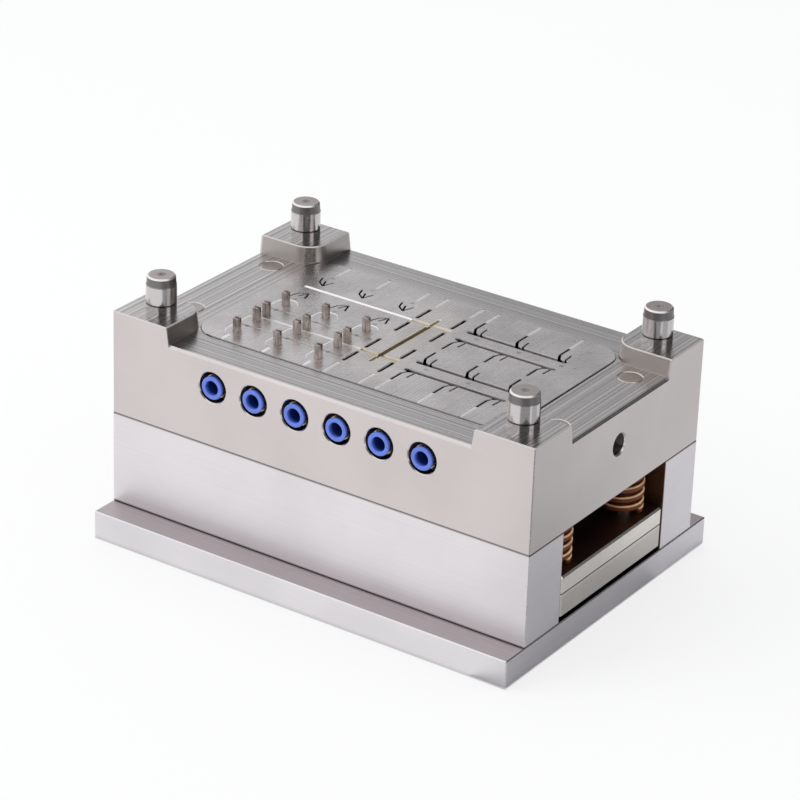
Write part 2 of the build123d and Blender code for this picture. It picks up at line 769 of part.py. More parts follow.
# Socket screws, each set standing on its heads
clamp_grip = clamp_thick - clamp_screw - head_recess + spacer_height
spacer_grip = clamp_thick - spacer_screw - head_recess
insert_grip = z_seat - z_plate - insert_screw - head_recess
ejector_grip = ejector_thick - ejector_screw - head_recess
stroke_grip = retainer_thick - stroke_screw - head_recess
screw_sets = (
    ("clamp_screws", clamp_screw_points, 0, clamp_screw, clamp_grip + clamp_screw_bite),
    ("spacer_screws", spacer_screw_points, 0, spacer_screw, spacer_grip + spacer_screw_bite),
    ("insert_screws", insert_screw_points, z_plate, insert_screw, insert_grip + insert_screw_bite),
    ("ejector_plate_screws", ejector_screw_points, z_ejector, ejector_screw, ejector_grip + ejector_screw_bite),
    ("stroke_stop_screws", stroke_points, z_retainer, stroke_screw, stroke_grip + stroke_screw_bite),
)
for set_name, points, z_under, size, shank in screw_sets:
    z_head = z_under + head_recess
    with BuildPart() as screws:
        with BuildSketch(Plane.XY.offset(z_head)):
            with Locations(*points):
                Circle(head_wide * size / 2)
        extrude(amount=size)
        with BuildSketch(Plane.XY.offset(z_head)):
            with Locations(*points):
                RegularPolygon(socket_wide * size / 2, 6, major_radius=False)
        extrude(amount=socket_share * size, mode=Mode.SUBTRACT)
        with BuildSketch(Plane.XY.offset(z_head + size)):
            with Locations(*points):
                Circle(size / 2)
        extrude(amount=shank)
    screws.part.label = set_name
    export_step(screws.part, f"parts/{set_name}.step")

# Push-in fittings: screwed into the insert's side, hex and barrel inside the front wall's bores
fitting_points = [(x, fitting_z) for x in fitting_columns]
barrel_end = insert_width / 2 + hex_long + barrel_long
stem_room = collar_travel + collar_rest
collar_face = base_width / 2 + collar_stand
stem_end = barrel_end - collar_stem_grip
with BuildPart() as fitting_bodies:
    with BuildSketch(Plane.XZ.offset(insert_width / 2 - thread_long)):
        with Locations(*fitting_points):
            Circle(socket_dia / 2)
    extrude(amount=thread_long)
    with BuildSketch(Plane.XZ.offset(insert_width / 2)):
        with Locations(*fitting_points):
            RegularPolygon(hex_flats / 2, 6, major_radius=False)
    extrude(amount=hex_long)
    with BuildSketch(Plane.XZ.offset(insert_width / 2 + hex_long)):
        with Locations(*fitting_points):
            Circle(barrel_dia / 2)
    extrude(amount=barrel_long)
    with BuildSketch(Plane.XZ.offset(insert_width / 2 - thread_long)):
        with Locations(*fitting_points):
            Circle(water_dia / 2)
    extrude(amount=barrel_end, mode=Mode.SUBTRACT)
    with BuildSketch(Plane.XZ.offset(insert_width / 2 + hex_long)):
        with Locations(*fitting_points):
            Circle(tube_dia / 2 + tube_room)
    extrude(amount=barrel_long, mode=Mode.SUBTRACT)
    with BuildSketch(Plane.XZ.offset(stem_end - stem_room - seal_back - seal_long)):
        with Locations(*fitting_points):
            Circle(seal_dia / 2)
    extrude(amount=seal_long, mode=Mode.SUBTRACT)
    with BuildSketch(Plane.XZ.offset(stem_end - stem_room)):
        with Locations(*fitting_points):
            Circle(collar_stem_dia / 2 + collar_gap)
    extrude(amount=barrel_end, mode=Mode.SUBTRACT)
fitting_bodies.part.label = "fitting_bodies"
export_step(fitting_bodies.part, "parts/fitting_bodies.step")

# One seal in each fitting, behind the collar
with BuildPart() as fitting_seals:
    with BuildSketch(Plane.XZ.offset(stem_end - stem_room - seal_back - seal_long)):
        with Locations(*fitting_points):
            Circle(seal_dia / 2)
            Circle(tube_dia / 2 - seal_squeeze, mode=Mode.SUBTRACT)
    extrude(amount=seal_long)
fitting_seals.part.label = "fitting_seals"
export_step(fitting_seals.part, "parts/fitting_seals.step")

# Release collars: pushed in to let the hose go
for number, x in enumerate(fitting_columns, 1):
    with BuildPart() as collar:
        with BuildSketch(Plane.XZ.offset(collar_face - collar_flange)):
            with Locations((x, fitting_z)):
                Circle(collar_dia / 2)
        extrude(amount=collar_flange)
        with BuildSketch(Plane.XZ.offset(stem_end)):
            with Locations((x, fitting_z)):
                Circle(collar_stem_dia / 2)
        extrude(amount=collar_face - collar_flange - stem_end)
        with BuildSketch(Plane.XZ.offset(stem_end)):
            with Locations((x, fitting_z)):
                Circle(tube_dia / 2)
        extrude(amount=collar_face - stem_end, mode=Mode.SUBTRACT)
        chamfer(collar.faces().sort_by(Axis.Y)[0].edges(), collar_rest)
    collar.part.label = f"release_collar_{number}"
    export_step(collar.part, f"parts/release_collar_{number}.step")
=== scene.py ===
"""Finishes, springs, light and camera for the moving half of a mould base."""
from functools import partial
from math import cos, pi, radians, sin

import bmesh
import bpy
from bpy.props import FloatProperty, FloatVectorProperty, IntProperty, PointerProperty
from mathutils import Matrix, Vector


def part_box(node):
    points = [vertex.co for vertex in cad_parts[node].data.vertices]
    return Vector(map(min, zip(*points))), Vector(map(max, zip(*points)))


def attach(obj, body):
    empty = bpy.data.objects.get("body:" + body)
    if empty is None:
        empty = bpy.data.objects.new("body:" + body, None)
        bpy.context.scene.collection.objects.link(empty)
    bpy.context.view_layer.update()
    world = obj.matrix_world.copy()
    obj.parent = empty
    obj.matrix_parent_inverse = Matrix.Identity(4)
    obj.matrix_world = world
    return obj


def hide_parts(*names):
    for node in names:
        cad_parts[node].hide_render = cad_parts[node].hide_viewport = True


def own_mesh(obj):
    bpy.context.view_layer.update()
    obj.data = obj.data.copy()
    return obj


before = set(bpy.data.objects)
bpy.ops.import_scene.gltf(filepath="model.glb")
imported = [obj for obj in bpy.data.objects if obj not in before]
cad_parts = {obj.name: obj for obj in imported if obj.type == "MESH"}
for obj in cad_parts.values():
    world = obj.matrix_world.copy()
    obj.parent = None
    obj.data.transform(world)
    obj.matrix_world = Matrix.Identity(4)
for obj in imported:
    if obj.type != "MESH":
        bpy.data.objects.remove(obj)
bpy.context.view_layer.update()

bl_info = {
    "name": "Mould base looks",
    "version": (1, 0, 0),
    "blender": (4, 5, 0),
    "location": "View3D > Sidebar > Mould",
    "description": "Finishes, springs, light and camera for a mould base's moving half",
    "category": "Object",
}

# Corners and levels that the finishes follow, read from the packed pieces, in metres
CORE_LOW, CORE_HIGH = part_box("core_plate")
INSERT_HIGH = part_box("core_insert")[1]
SPRING_LOW, SPRING_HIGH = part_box("return_springs")
GUIDE_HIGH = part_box("guide_pins")[1]
Z_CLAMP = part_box("bottom_clamp_plate")[1].z
Z_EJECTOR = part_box("ejector_plate")[1].z
Z_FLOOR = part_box("return_pins")[1].z
Y_BOX = -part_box("spacer_block_front")[1].y

# Depth at which the insert's depth mask is full, in metres: its cuts are told apart by shares of it
CUT_DEPTH = 0.006
# Upward slope of broken edges, and of the wire's upper faces that get painted light: where their mask
# starts, is full, starts to fade and ends
EDGE_SLOPES = (0.25, 0.45, 0.90, 0.97)
WIRE_LIGHT_SLOPES = (0.25, 0.5, 0.90, 0.985)
# Sections in a quarter turn of the wire's and the collar's corners, and the collar's sharp edges
WIRE_CORNER_STEPS = 3
COLLAR_CORNER_STEPS = 5
COLLAR_SHARP = radians(40)

# Cards round the stage: name, first and last turn from the fittings side in degrees, two edges as
# shares of the card distance (out, up), and the grey
CARD_STEPS = 24
GREY_CARDS = (
    ("camera_side_card", 10, 74, ((1.0, 0.24), (1.0, 1.3)), 0.10),
    # The cards that lie on the floor are painted shade: they stand for the shaded floor round the mould and
    # show only in reflections
    ("camera_floor_card", 22, 70, ((0.15, 0.001), (1.0, 0.001)), 0.36),
    ("near_floor_card", 48, 78, ((0.05, 0.001), (0.15, 0.001)), 0.52),
    ("right_floor_card", 78, 110, ((0.05, 0.001), (1.0, 0.001)), 0.53),
    ("back_floor_card", 110, 200, ((0.05, 0.001), (1.0, 0.001)), 0.80),
    ("back_right_card", 104, 196, ((1.0, 0.02), (1.0, 1.6)), 0.10),
    ("back_middle_card", 196, 212, ((1.0, 0.02), (1.0, 1.6)), 0.48),
    ("back_left_card", 212, 226, ((1.0, 0.02), (1.0, 1.6)), 0.66),
)
# Lamps: name, the look that holds the power, place and size in metres; both aim at one place
LAMPS = (
    ("key_lamp", "key_power", (-2.4, -2.2, 2.2), 2.8),
    ("top_lamp", "top_power", (-0.4, 0.2, 3.2), 2.4),
)
LAMP_AIM = Vector((0, 0, 0.1))
WHITE = (1, 1, 1, 1)
SENSOR_WIDTH = 36.0
CAMERA_REACH = 50.0


def setting(maker, name, description, default, **kind):
    """A property that a user may change."""
    return maker(name=name, description=description, default=default, **kind)


# Kinds of property: colours in linear light, lengths in metres, shares from none to all, angles in
# radians, lamps' power in watts and whole numbers
colour = partial(setting, FloatVectorProperty, subtype="COLOR", size=3, min=0, max=1)
length = partial(setting, FloatProperty, subtype="DISTANCE", unit="LENGTH", min=0)
share = partial(setting, FloatProperty, subtype="FACTOR", min=0, max=1)
angle = partial(setting, FloatProperty, subtype="ANGLE", unit="ROTATION")
power = partial(setting, FloatProperty, subtype="POWER", min=0)
count = partial(setting, IntProperty)


class MouldPlateLook(bpy.types.PropertyGroup):
    """Ground and milled plates"""
    clamp_steel: colour("Clamp plate", "Ground steel of the clamp plate", (0.80, 0.775, 0.80))
    ledge_steel: colour("Clamp ledge", "Handled upper face of the clamp plate", (0.60, 0.545, 0.56))
    spacer_steel: colour("Spacers", "Ground steel of the spacer blocks", (0.82, 0.79, 0.815))
    core_steel: colour("Core plate", "Ground steel of the core plate", (0.70, 0.648, 0.638))
    # Painted shade on the lock walls
    lock_side_shade: colour("Lock sides", "Painted shade on the sides of the corner locks", (0.42, 0.385, 0.365))
    rim_steel: colour("Lock rims", "Broken upper edges of the corner locks", (0.60, 0.555, 0.54))
    floor_steel: colour("Parting face", "Milled upper faces of the core plate", (0.76, 0.73, 0.725))
    ejector_steel: colour("Ejector plates", "Ground steel of the ejector plates", (0.93, 0.88, 0.83))
    insert_steel: colour("Insert", "Milled steel of the core insert", (0.68, 0.645, 0.645))
    # Painted shade in the slits and deep cuts
    slit_shade: colour("Slits", "Painted shade on the walls of the slits", (0.012, 0.011, 0.010))
    # Dark seams, and also painted shade under the stack and round the insert's rim
    grime_and_shade: colour("Grime and shade", "Oil and dust along the seams, and painted shade under the stack and round the insert", (0.012, 0.010, 0.011))
    dust: colour("Dust", "Paler dust in the upper seam", (0.22, 0.19, 0.19))
    # Painted highlight on the walls of shallow cuts
    cut_wall_highlight: colour("Scratched cuts", "Painted highlight on the walls of shallow cuts", (0.86, 0.84, 0.82))
    # Painted highlight round the prints
    print_wall_highlight: colour("Print walls", "Painted highlight on the walls of the shallow prints", (0.99, 0.97, 0.95))
    # Brown oily film and painted shade inside the dim ejector box
    box_shade_and_oil: colour("Oil film", "Dark brown oil and painted shade inside the ejector box", (0.16, 0.09, 0.062))
    # Painted shade on the runner walls that face the end
    runner_wall_shade: colour("Burnt walls", "Dark olive walls of the runner", (0.16, 0.145, 0.08))
    gold: colour("Heat tint", "Golden tint round the runner", (0.86, 0.76, 0.56))
    gate_aside: length("Gates", "Distance of the gates and cross channels from the middle", 0.036)
    runner_aside: length("Runner", "The main runner's step to the left of the middle", 0.002)
    plate_roughness: share("Plate roughness", "How matt the ground faces are", 0.42)
    floor_roughness: share("Parting face roughness", "How matt the milled parting face is", 0.24)


class MouldPinLook(bpy.types.PropertyGroup):
    """Guide pins, return pins, ejector pins and core pins"""
    guide_steel: colour("Guide pins", "Polished hardened steel", (0.61, 0.58, 0.58))
    lead_steel: colour("Lead-in", "Matt band at the end of a guide pin", (0.21, 0.20, 0.20))
    # Painted highlight on the nose chamfer
    nose_highlight: colour("Nose", "Painted highlight on the chamfer of a guide pin's end", (0.9, 0.87, 0.86))
    end_steel: colour("Pin end", "Turned end face of a guide pin", (0.50, 0.45, 0.44))
    dimple_steel: colour("Dimple", "Matt centre dimple of a guide pin", (0.24, 0.22, 0.215))
    return_steel: colour("Return pins", "Hardened steel, slightly tan", (0.50, 0.455, 0.425))
    core_steel: colour("Core pins", "Brown-grey eroded steel", (0.52, 0.46, 0.43))
    ejector_steel: colour("Ejector pins", "Hardened steel of the ejector pins", (0.46, 0.44, 0.42))
    lead_band: length("Lead-in band", "Height of the matt band", 0.008)
    groove_dark: colour("Groove", "Dark band at the groove round a guide pin", (0.03, 0.027, 0.026))
    groove_up: length("Groove height", "Height of the groove over the locks", 0.0066)
    groove_band: length("Groove band", "Half the height that the oil covers", 0.0012)
    guide_head: length("Guide pin head", "Diameter of the head under the plate", 0.030)


class MouldSpringLook(bpy.types.PropertyGroup):
    """Return springs"""
    coat: colour("Coat", "Copper brown coat of the wire", (0.17, 0.042, 0.014))
    # Painted light on the wire's upper faces
    wire_top_light: colour("Lit wire tops", "Painted light on the wire's upper side", (1.0, 0.62, 0.32))
    coil_wide: length("Coil width", "Coil's outer diameter", 0.035)
    wire_wide: length("Wire width", "Wire's size across the coil", 0.0065)
    wire_high: length("Wire height", "Wire's size along the coil", 0.0052)
    wire_round: length("Wire corner", "Radius of the wire's corners", 0.0017)
    closed_pitch: length("Closed pitch", "Rise of a turn that lies on its neighbour", 0.0054)
    open_turns: count("Open turns", "Turns between the closed ends", 6, min=2)
    steps: count("Steps", "Sections in one turn", 48, min=12)


class MouldFittingLook(bpy.types.PropertyGroup):
    """Water fittings"""
    collar_blue: colour("Collar", "Blue plastic of the release collars", (0.115, 0.195, 0.70))
    brass: colour("Body", "Plated brass of the fitting bodies", (0.66, 0.56, 0.40))
    plug_brass: colour("Plugs", "Bare brass of the water plugs", (0.55, 0.38, 0.14))
    rubber: colour("Seal", "Black rubber of the seals", (0.012, 0.012, 0.012))
    screw_black: colour("Screws", "Black oxide of the screws", (0.035, 0.034, 0.033))
    button_steel: colour("Buttons", "Hardened steel of buttons and stops", (0.30, 0.29, 0.28))
    # Painted shade down the collar's bore
    throat_shade: colour("Collar throat", "Painted shade down the bore of the release collars", (0.010, 0.035, 0.22))
    throat_start: length("Throat start", "Depth at which a collar's bore starts to go dark", 0.0010)
    throat_end: length("Throat end", "Depth at which a collar's bore is dark", 0.0050)
    collar_wide: length("Collar width", "Collar's outer diameter", 0.0195)
    collar_bore: length("Collar bore", "Bore that the hose passes", 0.0122)
    collar_stem: length("Collar stem", "Diameter of the stem inside the fitting", 0.015)
    collar_lip: length("Collar lip", "Thickness of the pressed flange", 0.0025)
    collar_round: length("Collar rounding", "Rounding of the flange's edges", 0.0009)
    collar_steps: count("Collar steps", "Sections round a collar", 72, min=16)


class MouldStageLook(bpy.types.PropertyGroup):
    """Floor, light and camera"""
    azimuth: angle("Azimuth", "Camera's turn from the fittings side", radians(33.67))
    elevation: angle("Elevation", "Camera's height over the floor", radians(25.642))
    roll: angle("Roll", "Camera's tilt about its own axis", radians(2.046))
    distance: length("Distance", "Camera's distance along its axis", 2.802955)
    aside: length("Aside", "Camera's step to its left", 0.00007, min=-1)
    lift: length("Lift", "Camera's step up", 0.115605, min=-1)
    lens: setting(FloatProperty, "Lens", "Focal length", 153.703, unit="CAMERA")
    floor_size: length("Floor size", "Side of the square floor", 8.0)
    floor_white: colour("Floor", "Pale floor", (0.86, 0.86, 0.86))
    floor_shadow: share("Shadow", "How much of the shadow the camera sees", 0.28)
    card_reach: length("Card distance", "Distance of the upright cards from the middle", 2.0)
    sky: colour("Sky", "Soft light from all round", (0.95, 0.97, 1.0))
    sky_strength: share("Sky strength", "Level of the light all round", 0.75)
    key_power: power("Key", "Large lamp at the front left", 50)
    top_power: power("Top", "Large lamp overhead", 30)


def feed(tree, socket, value):
    """Link a socket to another one, or set it to a plain value."""
    if isinstance(value, bpy.types.NodeSocket):
        tree.links.new(value, socket)
    elif socket.type == "RGBA":
        socket.default_value = (*value[:3], 1)
    else:
        socket.default_value = value


def make_node(tree, kind, label, settings=None, inputs=None):
    """New shader node with its settings, and its inputs linked or set."""
    node = tree.nodes.new(f"ShaderNode{kind}")
    node.name = node.label = label
    for key, value in (settings or {}).items():
        setattr(node, key, value)
    for key, value in (inputs or {}).items():
        feed(tree, node.inputs[key], value)
    return node


def maths(tree, label, operation, first, second=0.0, clamp=False):
    """Output of a maths node."""
    settings = {"operation": operation, "use_clamp": clamp}
    return make_node(tree, "Math", label, settings, {0: first, 1: second}).outputs[0]


def vector_maths(tree, label, operation, first, second=(0, 0, 0)):
    """Outputs of a vector maths node."""
    return make_node(tree, "VectorMath", label, {"operation": operation}, {0: first, 1: second}).outputs


def remap(tree, label, value, low, high, to_low=0.0, to_high=1.0, smooth=True):
    """Output of a map range node."""
    settings = {"interpolation_type": "SMOOTHSTEP" if smooth else "LINEAR"}
    inputs = {"Value": value, "From Min": low, "From Max": high, "To Min": to_low, "To Max": to_high}
    return make_node(tree, "MapRange", label, settings, inputs).outputs["Result"]


def mix_colour(tree, label, share_of_second, first, second, blend="MIX"):
    """Output of a colour mix node."""
    settings = {"data_type": "RGBA", "blend_type": blend}
    inputs = {0: share_of_second, 6: first, 7: second}
    return make_node(tree, "Mix", label, settings, inputs).outputs[2]


def noise(tree, label, place, scale, detail, roughness=0.5):
    """Output of a noise texture over a place, or along a single number."""
    single = place.type == "VALUE"
    settings = {"noise_dimensions": "1D" if single else "3D"}
    inputs = {"W" if single else "Vector": place, "Scale": scale, "Detail": detail, "Roughness": roughness}
    return make_node(tree, "TexNoise", label, settings, inputs).outputs[0]


def axes_of(tree, label, vector):
    """The three numbers of a place or a direction."""
    return make_node(tree, "SeparateXYZ", label, None, {0: vector}).outputs


def object_place(tree):
    """Place on the piece, in metres in the shared frame."""
    return make_node(tree, "TexCoord", "Place").outputs["Object"]


def surface_normal(tree):
    """Direction that the surface faces."""
    return make_node(tree, "NewGeometry", "Surface").outputs["Normal"]


def new_group(name, inputs, outputs):
    """Empty shader node group with named number sockets; returns its tree, inputs and outputs."""
    tree = bpy.data.node_groups.new(name, "ShaderNodeTree")
    for label, default in inputs.items():
        socket = tree.interface.new_socket(label, in_out="INPUT", socket_type="NodeSocketFloat")
        socket.default_value = default
    for label in outputs:
        tree.interface.new_socket(label, in_out="OUTPUT", socket_type="NodeSocketFloat")
    given = tree.nodes.new("NodeGroupInput").outputs
    result = tree.nodes.new("NodeGroupOutput").inputs
    return tree, given, result


def build_grain_group():
    """Grinding streaks that run level round the upright faces."""
    tree, given, result = new_group("Ground streaks", {"Along": 6, "Across": 900}, ["Tone", "Height"])
    along, across = given["Along"], given["Across"]
    stretch = make_node(tree, "CombineXYZ", "Stretch", None, {0: along, 1: along, 2: across}).outputs[0]
    place = vector_maths(tree, "Stretched place", "MULTIPLY", object_place(tree), stretch)[0]
    streaks = noise(tree, "Streaks", place, 1.0, 4.0, 0.55)
    feed(tree, result["Tone"], remap(tree, "Even streaks", streaks, 0.25, 0.75, smooth=False))
    feed(tree, result["Height"], streaks)
    return tree


def build_milling_group():
    """Parallel cutter lines on a flat face; they run across the axis that is turned by Turn."""
    inputs = {"Pitch": 0.002, "Turn": 0.0, "Wander": 0.0004}
    tree, given, result = new_group("Cutter lines", inputs, ["Tone", "Height"])
    turning = {"Vector": object_place(tree), "Angle": given["Turn"]}
    place = make_node(tree, "VectorRotate", "Turned place", {"rotation_type": "Z_AXIS"}, turning).outputs[0]
    shift = maths(tree, "Shift", "MULTIPLY", noise(tree, "Wander", place, 14.0, 3.0), given["Wander"])
    along = maths(tree, "Shifted", "ADD", axes_of(tree, "Axes", place)["X"], shift)
    passes = maths(tree, "Passes", "DIVIDE", along, given["Pitch"])
    wave = maths(tree, "Wave", "SINE", maths(tree, "Phase", "MULTIPLY", passes, 2 * pi))
    ridge = remap(tree, "Ridge", wave, -1.0, 1.0, smooth=False)
    uneven = noise(tree, "Uneven passes", passes, 0.9, 6.0, 0.8)
    uneven = remap(tree, "Uneven", uneven, 0.3, 0.7, smooth=False)
    feed(tree, result["Tone"], uneven)
    feed(tree, result["Height"], maths(tree, "Line height", "MULTIPLY", ridge, uneven))
    return tree


def build_smudge_group():
    """Soft cloudy change of tone from handling and oil."""
    tree, given, result = new_group("Smudges", {"Size": 0.06}, ["Cloud", "Spots"])
    place = object_place(tree)
    scale = maths(tree, "Scale", "DIVIDE", 1.0, given["Size"])
    fine = maths(tree, "Fine scale", "MULTIPLY", scale, 9.0)
    cloud = noise(tree, "Cloud", place, scale, 3.0)
    spots = noise(tree, "Spots", place, fine, 4.0)
    feed(tree, result["Cloud"], remap(tree, "Cloud range", cloud, 0.3, 0.7))
    feed(tree, result["Spots"], remap(tree, "Spot range", spots, 0.55, 0.8))
    return tree


def build_edge_group():
    """Mask of the broken edges: faces that don't lie square to the plates."""
    tree, given, result = new_group("Broken edges", {"Square": 0.93, "Broken": 0.8}, ["Mask"])
    size = axes_of(tree, "Axes", vector_maths(tree, "Size", "ABSOLUTE", surface_normal(tree))[0])
    wide = maths(tree, "Wider", "MAXIMUM", size["X"], size["Y"])
    most = maths(tree, "Most", "MAXIMUM", wide, size["Z"])
    feed(tree, result["Mask"], remap(tree, "Mask", most, given["Square"], given["Broken"]))
    return tree


def build_level_group():
    """Masks of a band round a level, of how far a face lies below it, and of faces that look up.

    With a Depth under zero, Below is the mask of what lies above the level.
    """
    inputs = {"Level": 0.0, "Band": 0.001, "Depth": 0.004}
    tree, given, result = new_group("Level", inputs, ["Near", "Below", "Facing up"])
    height = axes_of(tree, "Height", object_place(tree))["Z"]
    under = maths(tree, "Under", "SUBTRACT", given["Level"], height)
    away = maths(tree, "Away", "ABSOLUTE", under)
    up = axes_of(tree, "Up", surface_normal(tree))["Z"]
    feed(tree, result["Near"], remap(tree, "Near", away, given["Band"], 0.0))
    feed(tree, result["Below"], remap(tree, "Below", under, 0.0, given["Depth"], smooth=False))
    feed(tree, result["Facing up"], remap(tree, "Facing up", up, 0.8, 0.98))
    return tree


class Finish:
    """A material in the making: one Principled shader and what feeds it."""

    groups = {}

    def __init__(self, name, base, roughness, metallic=1.0, specular=0.5):
        self.material = bpy.data.materials.new(name)
        self.material.use_nodes = True
        self.tree = self.material.node_tree
        self.shader = self.tree.nodes["Principled BSDF"]
        self.base = base
        self.rough = roughness
        self.metal = metallic
        self.heights = []
        self.feed_shader({"Specular IOR Level": specular, **self.sources()})

    def sources(self):
        """What feeds the shader so far, by its inputs' names."""
        return {"Base Color": self.base, "Roughness": self.rough, "Metallic": self.metal}

    def feed_shader(self, sources):
        """Link or set the shader's inputs."""
        for name, value in sources.items():
            feed(self.tree, self.shader.inputs[name], value)

    def place(self, axis):
        """Place on the piece along an axis, in metres in the shared frame."""
        return axes_of(self.tree, "Place", object_place(self.tree))[axis]

    def facing(self, axis):
        """How far the surface faces along an axis."""
        return axes_of(self.tree, "Facing", surface_normal(self.tree))[axis]

    def use(self, group, **values):
        """Place a shared effect with its own values; returns its outputs."""
        node = self.tree.nodes.new("ShaderNodeGroup")
        node.node_tree = Finish.groups[group]
        node.name = node.label = node.node_tree.name
        for key, value in values.items():
            node.inputs[key.capitalize()].default_value = value
        return node.outputs

    def both(self, first, second):
        """Product of two masks."""
        return maths(self.tree, "Both", "MULTIPLY", first, second)

    def either(self, first, second):
        """The stronger of two masks."""
        return maths(self.tree, "Either", "MAXIMUM", first, second)

    def less(self, first, second):
        """What a second mask leaves of the first."""
        return maths(self.tree, "Less", "SUBTRACT", first, second, clamp=True)

    def off(self, value, middle=0.0):
        """Distance of a value from a middle one."""
        return maths(self.tree, "Off", "ABSOLUTE", maths(self.tree, "Step", "SUBTRACT", value, middle))

    def fade(self, label, value, none, full, *ends):
        """Mask that changes smoothly between two values, from none to full or from one end to the other."""
        return remap(self.tree, label, value, none, full, *ends)

    def within(self, label, axis, full, none):
        """Mask that changes with the distance from the middle along an axis."""
        return self.fade(label, self.off(self.place(axis)), none, full)

    def field(self, label, corner, full, none):
        """Mask of a rectangle round the middle that ends between two steps out from its corner."""
        along, across = (
            self.within(label, axis, reach + full, reach + none) for axis, reach in zip("XY", corner)
        )
        return self.both(along, across)

    def slanted(self, label, low, full, fading, high):
        """Mask of the faces whose upward slope lies between low and high."""
        up = self.facing("Z")
        rising = self.fade(f"{label}, rising", up, low, full)
        return self.both(rising, self.fade(f"{label}, flattening", up, high, fading))

    def tint(self, label, mask, other, matt=0.0, dull=0.0):
        """Lay another colour over the base where the mask is, rougher or less metallic by a share."""
        self.base = mix_colour(self.tree, label, mask, self.base, other)
        if matt:
            self.matt(label, mask, matt)
        if dull:
            self.metal = self.less(self.metal, self.both(mask, dull))

    def shade(self, label, mask, bare, full):
        """Multiply the base by a level that goes with the mask from bare to full."""
        level = remap(self.tree, label, mask, 0.0, 1.0, bare, full, smooth=False)
        grey = make_node(self.tree, "CombineColor", label, None, {0: level, 1: level, 2: level}).outputs[0]
        self.base = mix_colour(self.tree, label, 1.0, self.base, grey, "MULTIPLY")

    def matt(self, label, mask, change):
        """Change the roughness where the mask is."""
        step = maths(self.tree, label, "MULTIPLY", mask, change)
        self.rough = maths(self.tree, label, "ADD", step, self.rough, clamp=True)

    def relief(self, label, height, size):
        """Add a bump of a real height in metres."""
        self.heights.append((label, height, size))

    def seam(self, level, dirt, band):
        """Line of dirt along a seam between two plates."""
        self.tint("Seam dirt", self.use("level", level=level, band=band)["Near"], dirt)

    def streak(self, along, across, tones, height, gloss=0.0):
        """Streaks of grinding, turning or eroding: two tones, a relief and a change of gloss."""
        streaks = self.use("grain", along=along, across=across)
        self.shade("Streak tone", streaks["Tone"], *tones)
        self.relief("Streak relief", streaks["Height"], height)
        if gloss:
            self.matt("Streak gloss", streaks["Tone"], gloss)

    def smudge(self, size, tones, gloss=0.0, height=0.0):
        """Clouds of two tones, with spots that have a change of gloss and a relief."""
        smudge = self.use("smudge", size=size)
        self.shade("Cloud tone", smudge["Cloud"], *tones)
        if gloss:
            self.matt("Spot gloss", smudge["Spots"], gloss)
        if height:
            self.relief("Spot relief", smudge["Spots"], height)

    def close(self):
        """Link what was gathered to the shader; returns the material."""
        sources = self.sources()
        for label, height, size in self.heights:
            inputs = {"Height": height, "Distance": size, "Strength": 1.0}
            if "Normal" in sources:
                inputs["Normal"] = sources["Normal"]
            sources["Normal"] = make_node(self.tree, "Bump", label, None, inputs).outputs[0]
        self.feed_shader(sources)
        return self.material

    def dress(self, *nodes):
        """Give the closed finish to CAD pieces."""
        material = self.close()
        for node in nodes:
            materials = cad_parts[node].data.materials
            materials.clear()
            materials.append(material)


def ground_steel(name, base, roughness, across=900.0):
    """Ground plate: level streaks, smudges and brighter broken edges."""
    steel = Finish(name, base, roughness)
    steel.streak(6.0, across, (0.965, 1.03), 0.00002, gloss=0.10)
    steel.smudge(0.09, (0.96, 1.03))
    edges = steel.use("edge")["Mask"]
    steel.shade("Edge tone", edges, 1.0, 1.05)
    steel.matt("Edge gloss", edges, -0.22)
    return steel


def add_object(name, data):
    """New object in the scene."""
    item = bpy.data.objects.new(name, data)
    bpy.context.scene.collection.objects.link(item)
    return item


def skin_rings(name, rings, material, closed):
    """Piece whose faces join rings of corners in turn; it closes on itself, or its two ends are capped."""
    mesh = bmesh.new()
    rings = [[mesh.verts.new(corner) for corner in ring] for ring in rings]
    following = rings[1:] + rings[:1] if closed else rings[1:]
    for first, second in zip(rings, following):
        for a in range(len(first)):
            b = (a + 1) % len(first)
            mesh.faces.new((first[a], first[b], second[b], second[a]))
    if not closed:
        mesh.faces.new(list(reversed(rings[0])))
        mesh.faces.new(rings[-1])
    bmesh.ops.recalc_face_normals(mesh, faces=mesh.faces)
    data = bpy.data.meshes.new(name)
    mesh.to_mesh(data)
    mesh.free()
    data.shade_smooth()
    data.materials.append(material)
    return add_object(name, data)


class MOULD_OT_dress_clamp_plate(bpy.types.Operator):
    """Give the clamp plate its ground finish"""
    bl_idname = "mould.dress_clamp_plate"
    bl_label = "Dress clamp plate"

    def execute(self, context):
        look = context.scene.mould_plates
        steel = ground_steel("clamp_plate_steel", look.clamp_steel, look.plate_roughness, across=700.0)
        foot = steel.use("level", level=0.0, band=0.005)
        lines = steel.use("milling", pitch=0.0035, turn=pi / 2, wander=0.003)
        ledge = foot["Facing up"]
        under = steel.within("Under the stack", "Y", CORE_HIGH.y - 0.0015, CORE_HIGH.y + 0.0012)
        steel.shade("Foot tone", foot["Near"], 1.0, 0.8)
        steel.tint("Ledge", ledge, look.ledge_steel)
        steel.shade("Ledge lines", steel.both(ledge, lines["Tone"]), 1.0, 0.9)
        # Painted shade on the ledge where the stack stands over it
        steel.tint("Stack grime", steel.both(ledge, under), look.grime_and_shade)
        steel.dress("bottom_clamp_plate")
        return {"FINISHED"}


